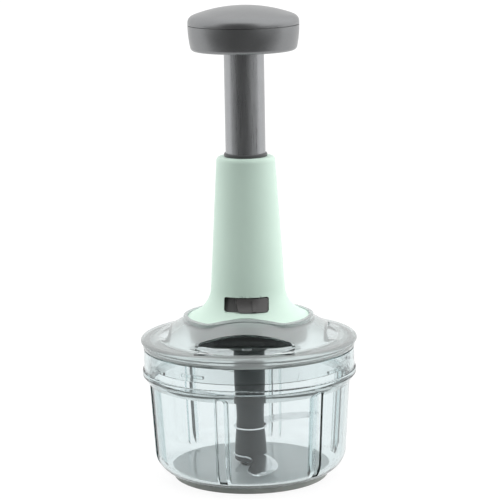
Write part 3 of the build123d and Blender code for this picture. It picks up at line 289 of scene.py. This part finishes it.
@dataclass(frozen=True)
class ClearPlastic(Finish):
    """Transparent moulded plastic, tinted through its thickness."""

    absorption: Colour = (20.0, 14.0, 12.0)
    ior: float = 1.5

    def detail(self, shader: Shader) -> None:
        """Transmission, a tint that deepens with thickness, and faint flow waves."""
        shader.set(Transmission_Weight=1.0, IOR=self.ior)
        density = max(self.absorption) * 1.05
        volume = shader.node("ShaderNodeVolumeAbsorption")
        volume.inputs["Density"].default_value = density
        volume.inputs["Color"].default_value = (*(1 - a / density for a in self.absorption), 1.0)
        shader.link(volume.outputs["Volume"], shader.output.inputs["Volume"])
        haze = shader.noise(55.0, 4.0)
        shader.vary_roughness(haze, self.roughness * 0.5, self.roughness * 1.5)
        shader.relief(shader.noise(34.0, 1.5), 0.00006, 0.6)


@dataclass(frozen=True)
class BowlPlastic(ClearPlastic):
    """Clear plastic with a fine frost on the flat of the bowl's floor."""

    floor_height: float = 0.006
    floor_slack: float = 0.0001
    floor_radius: float = 0.0464
    veil: float = 0.95
    veil_colour: Colour = (0.93, 0.97, 0.97)

    def detail(self, shader: Shader) -> None:
        """The clear finish, with frost where the floor's upper face is."""
        super().detail(shader)
        _, _, z, across = shader.position()
        within = shader.calc("LESS_THAN", across, self.floor_radius)
        off = shader.calc("ABSOLUTE", shader.calc("SUBTRACT", z, self.floor_height))
        level = shader.calc("LESS_THAN", off, self.floor_slack)
        floor = shader.calc("MULTIPLY", within, level)
        shader.cloud(floor, self.veil, self.colour, self.veil_colour)


@dataclass(frozen=True)
class FrostedPlastic(ClearPlastic):
    """Smoked plastic whose dome and rim are frosted outside, with polished finger niches.

    A point lies on the outside where height + fall * radius passes a threshold, because the dome falls
    evenly outwards. It lies in a niche where it is past the niche's wall and inside the arch
    (x / half width) squared + (height above the floor / rise) squared < 1.
    """

    frost: float = 0.2
    frost_grain: float = 260.0
    frost_spread: float = 0.08
    veil: float = 0.32
    veil_colour: Colour = (0.84, 0.9, 0.895)
    fall: float = 0.565
    outside: float = 0.1126
    niche_wall: float = 0.0402
    niche_end: float = 0.0532
    niche_half_width: float = 0.0282
    niche_floor: float = 0.0852
    niche_rise: float = 0.0076

    def detail(self, shader: Shader) -> None:
        """The clear finish, with frost over its outside."""
        super().detail(shader)
        x, y, z, across = shader.position()
        level = shader.calc("ADD", z, shader.calc("MULTIPLY", across, self.fall))
        out = shader.calc("GREATER_THAN", level, self.outside)
        beyond = shader.calc("GREATER_THAN", shader.calc("ABSOLUTE", y), self.niche_wall)
        before = shader.calc("LESS_THAN", shader.calc("ABSOLUTE", y), self.niche_end)
        above = shader.calc("MAXIMUM", shader.calc("SUBTRACT", z, self.niche_floor), 0.0)
        high = shader.calc("POWER", shader.calc("DIVIDE", above, self.niche_rise), 2)
        wide = shader.calc("POWER", shader.calc("DIVIDE", x, self.niche_half_width), 2)
        arch = shader.calc("LESS_THAN", shader.calc("ADD", wide, high), 1.0)
        niche = shader.calc("MULTIPLY", shader.calc("MULTIPLY", beyond, before), arch)
        frosted = shader.calc("MULTIPLY", out, shader.calc("SUBTRACT", 1.0, niche))
        grain = shader.noise(self.frost_grain, 3.0)
        finest, coarsest = (self.frost * (1 + side * self.frost_spread) for side in (-1, 1))
        haze = shader.remap(grain, finest, coarsest)
        rough = shader.calc("MAXIMUM", shader.calc("MULTIPLY", frosted, haze), self.roughness)
        shader.link(rough, shader.surface.inputs["Roughness"])
        shader.cloud(frosted, self.veil, self.colour, self.veil_colour)


@dataclass(frozen=True)
class MouldedPlastic(Finish):
    """Opaque moulded plastic with a fine spark-eroded grain."""

    grain: float = 1800.0
    grain_depth: float = 0.00002
    mottle: float = 0.02

    def detail(self, shader: Shader) -> None:
        """Fine grain, slow colour drift and handled, slightly shinier patches."""
        shader.vary_colour(
            shader.noise(40.0, 2.0),
            shade(self.colour, 1 - self.mottle),
            shade(self.colour, 1 + self.mottle),
        )
        shader.vary_roughness(shader.noise(75.0, 4.0), self.roughness * 0.88, self.roughness * 1.1)
        shader.relief(shader.noise(self.grain, 2.0), self.grain_depth, 0.5)


@dataclass(frozen=True)
class MetallicPaint(Finish):
    """Silver-grey paint with fine flakes on moulded plastic."""

    flake: float = 2600.0

    def detail(self, shader: Shader) -> None:
        """Flake sparkle in the roughness and a soft orange-peel relief."""
        shader.set(Metallic=0.92, Coat_Weight=0.12, Coat_Roughness=0.25)
        shader.vary_colour(
            shader.noise(self.flake, 1.0), shade(self.colour, 0.94), shade(self.colour, 1.06)
        )
        shader.vary_roughness(shader.noise(90.0, 4.0), self.roughness * 0.92, self.roughness * 1.1)
        shader.relief(shader.noise(420.0, 2.0), 0.00001, 0.4)


@dataclass(frozen=True)
class DrawnMetal(Finish):
    """Steel or aluminium with a grain that runs one way."""

    grain: Axis = Axis.EVEN
    grain_scale: float = 900.0
    anisotropy: float = 0.0

    def detail(self, shader: Shader) -> None:
        """Metal with grain lines in its roughness and relief."""
        shader.set(Metallic=1.0, Anisotropic=self.anisotropy)
        lines = shader.noise(self.grain_scale, 3.0, self.grain.value)
        shader.vary_roughness(lines, self.roughness * 0.8, self.roughness * 1.25)
        shader.vary_colour(
            shader.noise(120.0, 3.0), shade(self.colour, 0.96), shade(self.colour, 1.03)
        )
        shader.relief(lines, 0.000008, 0.5)


@dataclass(frozen=True)
class Rubber(Finish):
    """Matte elastomer with a dusty skin."""

    def detail(self, shader: Shader) -> None:
        """Dusty mottling, a soft sheen and a fine skin."""
        shader.set(Specular_IOR_Level=0.3, Sheen_Weight=0.08)
        shader.vary_colour(
            shader.noise(160.0, 5.0), shade(self.colour, 0.93), shade(self.colour, 1.06)
        )
        shader.vary_roughness(shader.noise(200.0, 4.0), self.roughness * 0.9, self.roughness * 1.08)
        shader.relief(shader.noise(2400.0, 2.0), 0.00003, 0.6)


CLEAR = BowlPlastic("clear_plastic", (0.99, 0.995, 1.0), 0.02, absorption=(56.0, 38.0, 37.0))
SMOKED = FrostedPlastic("smoked_plastic", (0.97, 0.98, 0.98), 0.03, absorption=(40.0, 33.0, 33.0))
MINT = MouldedPlastic("mint_plastic", (0.62, 0.79, 0.69), 0.42, mottle=0.012)
SILVER = MetallicPaint("silver_plastic", (0.25, 0.255, 0.26), 0.34)
TUBE = DrawnMetal("tube_metal", (0.37, 0.378, 0.387), 0.3, Axis.ALONG, 2600.0)
BUSH = MouldedPlastic("dark_plastic", (0.07, 0.071, 0.073), 0.4, mottle=0.04)
DARK = MouldedPlastic("case_plastic", (0.02, 0.023, 0.022), 0.36, mottle=0.05)
HUB = MouldedPlastic("hub_plastic", (0.057, 0.065, 0.067), 0.4, mottle=0.03)
SWITCH_PAD = MouldedPlastic("switch_plastic", (0.075, 0.073, 0.072), 0.22, mottle=0.03)
SWITCH_WELL = MouldedPlastic("switch_well", (0.05, 0.05, 0.049), 0.5, mottle=0.04)
BEARING = MouldedPlastic("bearing_plastic", (0.74, 0.74, 0.71), 0.32, mottle=0.02)
BLADE = DrawnMetal("blade_steel", (0.85, 0.86, 0.87), 0.2, Axis.EVEN, 700.0, 0.3)
STEEL = DrawnMetal("steel", (0.55, 0.55, 0.56), 0.28, Axis.AROUND, 900.0)
SEAL = Rubber("seal_rubber", (0.5, 0.55, 0.54), 0.55)
FOOT = Rubber("foot_rubber", (0.33, 0.345, 0.325), 0.6)


class Wardrobe:
    """Makes each finish once and puts it on pieces."""

    def __init__(self) -> None:
        """Start with no finish made."""
        self.made: dict[str, bpy.types.Material] = {}

    def dress(self, piece: bpy.types.Object, finish: Finish) -> None:
        """Give a piece one finish all over.

        Args:
            piece: Mesh object to dress.
            finish: What it wears.
        """
        if finish.name not in self.made:
            self.made[finish.name] = finish.build()
        piece.data.materials.clear()
        piece.data.materials.append(self.made[finish.name])
        log.info("%s wears %s", piece.name, finish.name)


def closed_grid(points: Grid, name: str, wrap: bool = True, smooth: bool = True) -> bpy.types.Object:
    """Make a mesh object from a grid of points, with its two end rings capped.

    Every quad joins four neighbours of the grid: (i, j), (i + 1, j), (i + 1, j + 1), (i, j + 1). The
    second direction wraps round, and each end ring is closed by one flat face.

    Args:
        points: Array of shape (rings, around, 3), in metres.
        name: Name of the object.
        wrap: Cap the end rings.
        smooth: Shade the quads smooth.

    Returns:
        The new object, at the origin.
    """
    rings, around, _ = points.shape
    index = np.arange(rings * around).reshape(rings, around)
    beside = np.roll(index, -1, axis=1)
    quads = np.stack([index[:-1], beside[:-1], beside[1:], index[1:]], axis=-1).reshape(-1, 4)
    faces = quads.tolist()
    if wrap:
        faces += [index[0][::-1].tolist(), index[-1].tolist()]
    mesh = bpy.data.meshes.new(name)
    mesh.from_pydata(points.reshape(-1, 3).tolist(), [], faces)
    mesh.polygons.foreach_set("use_smooth", [smooth] * len(quads) + [False] * (len(faces) - len(quads)))
    mesh.validate()
    piece = bpy.data.objects.new(name, mesh)
    bpy.context.scene.collection.objects.link(piece)
    return piece


@dataclass
class SubAssembly:
    """A group of pieces that is dressed together."""

    frame: dict
    wardrobe: Wardrobe
    nodes: dict[str, Finish] = field(default_factory=dict)

    def dress(self) -> None:
        """Put each node's finish on it."""
        for name, finish in self.nodes.items():
            self.wardrobe.dress(self.frame["nodes"][name], finish)

    def build(self) -> None:
        """Make the group's own pieces. A plain group has none."""


@dataclass
class Bowl(SubAssembly):
    """Clear bowl with its centre pin and foot ring."""

    nodes: dict[str, Finish] = field(
        default_factory=lambda: {"bowl": CLEAR, "centre_pin": STEEL, "base_pad": FOOT}
    )


@dataclass
class Lid(SubAssembly):
    """Smoked lid with its seal."""

    nodes: dict[str, Finish] = field(default_factory=lambda: {"lid": SMOKED, "lid_seal": SEAL})


@dataclass
class Handle(SubAssembly):
    """Mint handle with the bush at its top and the lock switch in its window."""

    nodes: dict[str, Finish] = field(
        default_factory=lambda: {
            "handle_shell": MINT,
            "guide_bush": BUSH,
            "switch_plate": SWITCH_WELL,
            "lock_slider": SWITCH_PAD,
            "lock_ring": BEARING,
            "housing_screws": STEEL,
        }
    )


@dataclass
class Plunger(SubAssembly):
    """Push knob, tube and nut, with the return spring in the tube."""

    nodes: dict[str, Finish] = field(
        default_factory=lambda: {
            "knob_cap": SILVER,
            "knob_cup": SILVER,
            "knob_screw": STEEL,
            "plunger_tube": TUBE,
            "drive_nut": BEARING,
        }
    )
    wire: float = 1.1 * MM
    live_coils: float = 8.0
    dead_coils: float = 1.5
    steps_per_coil: int = 36
    sides: int = 12

    def build(self) -> None:
        """Wind the return spring, with closed coils at both ends.

        The wire's line climbs little in the dead coils and evenly in the live ones. A ring of points
        stands round the line at each step: centre + radius * (cos a * outwards + sin a * up).
        """
        low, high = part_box("return_spring")
        radius = (high.x - low.x) / 2 - self.wire / 2
        turns = self.live_coils + 2 * self.dead_coils
        along = np.linspace(0.0, turns, int(turns * self.steps_per_coil) + 1)
        dead = self.wire * 1.02 * self.dead_coils
        span = high.z - low.z - self.wire
        height = np.interp(
            along,
            [0.0, self.dead_coils, turns - self.dead_coils, turns],
            [0.0, dead, span - dead, span],
        )
        angle = 2 * np.pi * along
        outward = np.stack([np.cos(angle), np.sin(angle), np.zeros_like(angle)], -1)
        centre = radius * outward
        centre[:, 2] = low.z + self.wire / 2 + height
        a = np.linspace(0, 2 * np.pi, self.sides, endpoint=False)
        up = np.array([0.0, 0.0, 1.0])
        ring = self.wire / 2 * (
            np.cos(a)[None, :, None] * outward[:, None, :] + np.sin(a)[None, :, None] * up
        )
        spring = closed_grid(centre[:, None, :] + ring, "wound_spring")
        self.wardrobe.dress(spring, STEEL)
        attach(spring, "plunger")
        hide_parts("return_spring")
        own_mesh(spring)


@dataclass
class Drive(SubAssembly):
    """Twisted rod, clutch and their housing."""

    nodes: dict[str, Finish] = field(
        default_factory=lambda: {
            "twist_rod": STEEL,
            "spring_seat": BEARING,
            "pawl_carrier": BEARING,
            "pawls": STEEL,
            "pawl_springs": STEEL,
            "rod_pin": STEEL,
            "ratchet_cup": BEARING,
            "output_shaft": STEEL,
            "drive_case": DARK,
            "drive_cover": DARK,
            "shaft_bush": BEARING,
            "cover_screws": STEEL,
        }
    )


@dataclass
class BladeUnit(SubAssembly):
    """Waisted hub with three stacked blades, ground along their leading edges."""

    nodes: dict[str, Finish] = field(default_factory=lambda: {"blade_hub": HUB})
    azimuths: dict[str, float] = field(
        default_factory=lambda: {"lower_blade": 8.0, "middle_blade": 128.0, "upper_blade": 248.0}
    )
    reach: float = 49.0 * MM
    eye_inner: float = 6.04 * MM
    eye_outer: float = 9.7 * MM
    bevel: float = 3.2 * MM
    edge: float = 0.12 * MM
    steps: int = 64

    def edge_line(self, points: list[tuple[float, float]], along: Grid) -> Grid:
        """A cubic through four points, at even shares of its chords' length.

        Args:
            points: Four corners in the blade's plane.
            along: Shares from 0 to 1.

        Returns:
            Points of the line, of shape (len(along), 2).
        """
        corners = np.array(points)
        chords = np.hypot(*np.diff(corners, axis=0).T)
        where = np.concatenate([[0.0], np.cumsum(chords)]) / chords.sum()
        return np.stack([np.polyval(np.polyfit(where, c, 3), along) for c in corners.T], -1)

    def build(self) -> None:
        """Make the ground blades in the places of the plain ones."""
        for node, azimuth in self.azimuths.items():
            self.blade(node, math.radians(azimuth))

    def blade(self, node: str, azimuth: float) -> None:
        """One blade: a curved wing with a ground bevel, on a flat eye.

        The wing's section runs from its back corner over the flat top, down the bevel to the thin
        edge, and back along the flat underside. Along the wing the section spans from the trailing to
        the leading line. The eye is a flat washer.

        Args:
            node: CAD node that the blade stands for.
            azimuth: Direction of the tip, in radians from the front.
        """
        low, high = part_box(node)
        thick = high.z - low.z
        along = np.linspace(0.0, 1.0, self.steps)
        r, e = self.reach, self.eye_outer
        lead = self.edge_line(
            [(0.3 * e, 0.9 * e), (0.48 * r, 0.27 * r), (0.76 * r, 0.22 * r), (r, -0.02 * r)], along
        )
        trail = self.edge_line(
            [(0.6 * e, -0.7 * e), (0.56 * r, -0.05 * r), (0.86 * r, -0.1 * r), (r, -0.02 * r)], along
        )
        width = np.linalg.norm(lead - trail, axis=1)
        bevel = np.minimum(self.bevel, 0.6 * width) / np.maximum(width, 1e-9)
        zero, one = np.zeros_like(bevel), np.ones_like(bevel)
        edge = self.edge / thick
        across = np.stack([zero, zero, 1 - bevel, one, one], 1)
        raised = np.stack([zero, one, one, edge * one, zero], 1)
        flat = trail[:, None, :] + across[..., None] * (lead - trail)[:, None, :]
        wing = np.concatenate([flat, (low.z + raised * thick)[..., None]], -1)
        wing[-1] = wing[-1].mean(0)
        tip = np.array([math.sin(azimuth), -math.cos(azimuth)])
        side = np.array([-tip[1], tip[0]])
        turn = np.stack([tip, side])
        wing[..., :2] = wing[..., :2] @ turn
        wing = wing[:, ::-1]
        angle = np.linspace(0, 2 * np.pi, 96, endpoint=False)
        radii = np.array([self.eye_inner, self.eye_outer - 0.1 * MM, self.eye_outer, self.eye_outer])
        radii = np.concatenate([radii, [self.eye_outer - 0.1 * MM, self.eye_inner]])
        share = np.array([0.0, 0.0, 0.1, 0.9, 1.0, 1.0])
        washer = np.stack(
            [
                np.cos(angle)[:, None] * radii,
                np.sin(angle)[:, None] * radii,
                np.broadcast_to(low.z + share * thick, (96, 6)),
            ],
            -1,
        )
        washer = np.concatenate([washer, washer[:1]])
        piece = closed_grid(wing, f"ground_{node}", smooth=False)
        eye = closed_grid(washer, f"eye_of_{node}", wrap=False, smooth=False)
        for made in (piece, eye):
            self.wardrobe.dress(made, BLADE)
            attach(made, "rotor")
        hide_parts(node)


@dataclass
class Studio:
    """White table and surroundings, a soft room with a darker front, and the camera."""

    floor_half: float = 6.0
    distance: float = 1.2927
    height: float = 0.37445
    aside: float = 0.00155
    pitch: float = 0.18465
    roll: float = -0.0175
    focal: float = 2275.5
    frame_width: float = 500.0
    sensor: float = 36.0
    side_right: float = 1.45
    side_left: float = 1.25
    front_level: float = 0.16
    dark_azimuth: float = -8.0
    mirrored_cone: tuple[float, float] = (0.55, 0.95)
    diffuse_cone: tuple[float, float] = (0.12, 0.78)
    diffuse_level: float = 1.45
    table_glow: float = 1.05
    table_share: float = 0.86
    azimuth: float = 3.0

    def build(self) -> None:
        """Make the table, the room light and the camera."""
        self.table()
        self.room()
        self.camera()

    def table(self) -> None:
        """A pale table that shows white beside the chopper and keeps its faint shadow. For every ray
        but the camera's it is painted darker in front of the chopper, a painted shade that stands for
        the room's dark front in reflections and bounced light.
        """
        half = self.floor_half
        line = np.linspace(-half, half, 9)
        x, y = np.meshgrid(line, line, indexing="ij")
        points = np.stack([x, y, np.full_like(x, -0.0002)], -1).reshape(-1, 3)
        index = np.arange(81).reshape(9, 9)
        quads = np.stack([index[:-1, :-1], index[1:, :-1], index[1:, 1:], index[:-1, 1:]], -1)
        mesh = bpy.data.meshes.new("table")
        mesh.from_pydata(points.tolist(), [], quads.reshape(-1, 4).tolist())
        table = bpy.data.objects.new("table", mesh)
        bpy.context.scene.collection.objects.link(table)
        shader = Shader("table_white")
        shader.set(Roughness=0.7, Specular_IOR_Level=0.1)
        where = shader.node("ShaderNodeTexCoord")
        split = shader.node("ShaderNodeSeparateXYZ")
        shader.link(where.outputs["Object"], split.inputs[0])
        # painted shade: the table darkens towards the front for reflected, refracted and bounced rays,
        # while the camera sees it white throughout
        painted_front_shade = shader.node("ShaderNodeMapRange", interpolation_type="SMOOTHSTEP")
        for name, value in (("From Min", -0.4), ("From Max", -0.06), ("To Min", 0.12), ("To Max", 1.0)):
            painted_front_shade.inputs[name].default_value = value
        shader.link(split.outputs["Y"], painted_front_shade.inputs["Value"])
        path = shader.node("ShaderNodeLightPath")
        seen = path.outputs["Is Camera Ray"]
        level = shader.calc("MAXIMUM", painted_front_shade.outputs[0], seen)
        glow = shader.node("ShaderNodeEmission")
        shader.link(shader.calc("MULTIPLY", level, self.table_glow), glow.inputs["Strength"])
        # the painted front shade also darkens the base colour, so light bounced off the front of the
        # table is dimmer
        tone = shader.node("ShaderNodeCombineColor")
        for socket in tone.inputs:
            shader.link(shader.calc("MULTIPLY", level, 0.9), socket)
        shader.link(tone.outputs[0], shader.surface.inputs["Base Color"])
        bright = shader.calc("MAXIMUM", seen, path.outputs["Is Glossy Ray"])
        bright = shader.calc("MAXIMUM", bright, path.outputs["Is Transmission Ray"])
        mix = shader.node("ShaderNodeMixShader")
        shader.link(shader.calc("MULTIPLY", bright, self.table_share), mix.inputs[0])
        shader.link(shader.surface.outputs[0], mix.inputs[1])
        shader.link(glow.outputs[0], mix.inputs[2])
        shader.link(mix.outputs[0], shader.output.inputs["Surface"])
        mesh.materials.append(shader.material)

    def room(self) -> None:
        """Light from all round, full behind and beside the chopper and low in front of it."""
        world = bpy.data.worlds.new("studio")
        bpy.context.scene.world = world
        world.use_nodes = True
        tree = world.node_tree
        tree.nodes.clear()
        where = tree.nodes.new("ShaderNodeTexCoord")
        split = tree.nodes.new("ShaderNodeSeparateXYZ")
        tree.links.new(where.outputs["Generated"], split.inputs[0])
        side = self.ramp(tree, split.outputs["X"], (-0.9, 0.9), (self.side_left, self.side_right))
        behind = self.ramp(tree, split.outputs["Y"], (0.55, 0.85), (0.0, 1.0))
        level = self.blend(tree, behind, side, 1.0)
        aim = tree.nodes.new("ShaderNodeVectorMath")
        aim.operation = "DOT_PRODUCT"
        turn = math.radians(self.dark_azimuth)
        aim.inputs[1].default_value = (math.sin(turn), -math.cos(turn), 0.0)
        tree.links.new(where.outputs["Generated"], aim.inputs[0])
        mirrored = self.ramp(tree, aim.outputs["Value"], self.mirrored_cone, (0.0, 1.0))
        mirrored = self.blend(tree, mirrored, level, self.front_level)
        diffuse = self.ramp(tree, aim.outputs["Value"], self.diffuse_cone, (0.0, 1.0))
        diffuse = self.blend(tree, diffuse, level, self.front_level)
        lift = tree.nodes.new("ShaderNodeMath")
        lift.operation = "MULTIPLY"
        lift.inputs[1].default_value = self.diffuse_level
        tree.links.new(diffuse, lift.inputs[0])
        path = tree.nodes.new("ShaderNodeLightPath")
        level = self.choose(tree, path.outputs["Is Diffuse Ray"], mirrored, lift.outputs[0])
        soft = tree.nodes.new("ShaderNodeBackground")
        tree.links.new(level, soft.inputs["Strength"])
        seen = tree.nodes.new("ShaderNodeBackground")
        mix = tree.nodes.new("ShaderNodeMixShader")
        out = tree.nodes.new("ShaderNodeOutputWorld")
        soft.inputs["Color"].default_value = (1, 1, 1, 1)
        seen.inputs["Color"].default_value = (1, 1, 1, 1)
        tree.links.new(path.outputs["Is Camera Ray"], mix.inputs[0])
        tree.links.new(soft.outputs[0], mix.inputs[1])
        tree.links.new(seen.outputs[0], mix.inputs[2])
        tree.links.new(mix.outputs[0], out.inputs["Surface"])

    def ramp(
        self,
        tree: bpy.types.NodeTree,
        value: bpy.types.NodeSocket,
        start: tuple[float, float],
        end: tuple[float, float],
    ) -> bpy.types.NodeSocket:
        """A smooth step from one range to another.

        Args:
            tree: The room's node tree.
            value: Output to read.
            start: Values where the step begins and ends.
            end: Numbers that it gives there.

        Returns:
            The stepped value.
        """
        step = tree.nodes.new("ShaderNodeMapRange")
        step.interpolation_type = "SMOOTHSTEP"
        for name, number in zip(("From Min", "From Max", "To Min", "To Max"), (*start, *end)):
            step.inputs[name].default_value = number
        tree.links.new(value, step.inputs["Value"])
        return step.outputs[0]

    def choose(
        self,
        tree: bpy.types.NodeTree,
        share: bpy.types.NodeSocket,
        first: bpy.types.NodeSocket,
        second: bpy.types.NodeSocket,
    ) -> bpy.types.NodeSocket:
        """Go from one level to another by a share.

        Args:
            tree: The room's node tree.
            share: How far to go, 0 to 1.
            first: Level at 0.
            second: Level at 1.

        Returns:
            The blended level.
        """
        mix = tree.nodes.new("ShaderNodeMix")
        mix.data_type = "FLOAT"
        tree.links.new(share, mix.inputs[0])
        tree.links.new(first, mix.inputs[2])
        tree.links.new(second, mix.inputs[3])
        return mix.outputs[0]

    def blend(
        self,
        tree: bpy.types.NodeTree,
        share: bpy.types.NodeSocket,
        level: bpy.types.NodeSocket,
        other: float,
    ) -> bpy.types.NodeSocket:
        """Blend a light level towards a number.

        Args:
            tree: The room's node tree.
            share: How far to go, 0 to 1.
            level: Level to start from.
            other: Number to go to.

        Returns:
            The blended level.
        """
        mix = tree.nodes.new("ShaderNodeMix")
        mix.data_type = "FLOAT"
        tree.links.new(share, mix.inputs[0])
        tree.links.new(level, mix.inputs[2])
        mix.inputs[3].default_value = other
        return mix.outputs[0]

    def camera(self) -> None:
        """The camera: level with the knob, tipped down and turned a little about its own axis."""
        data = bpy.data.cameras.new("camera")
        data.sensor_width = self.sensor
        data.lens = self.focal / self.frame_width * self.sensor
        data.clip_end = 50.0
        camera = bpy.data.objects.new("camera", data)
        bpy.context.scene.collection.objects.link(camera)
        camera.matrix_world = (
            Matrix.Rotation(math.radians(self.azimuth), 4, "Z")
            @ Matrix.Translation((self.aside, -self.distance, self.height))
            @ Matrix.Rotation(math.pi / 2 - self.pitch, 4, "X")
            @ Matrix.Rotation(self.roll, 4, "Z")
        )
        bpy.context.scene.camera = camera


def main() -> None:
    """Load the frame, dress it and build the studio."""
    logging.basicConfig(level=logging.INFO, format="%(name)s: %(message)s")
    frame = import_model()
    bpy.context.scene.view_settings.view_transform = "Standard"
    wardrobe = Wardrobe()
    for group in (Bowl, Lid, Handle, Plunger, Drive, BladeUnit):
        made = group(frame, wardrobe)
        made.dress()
        made.build()
        log.info("%s is ready", group.__name__)
    Studio().build()


if __name__ == "__main__":
    main()
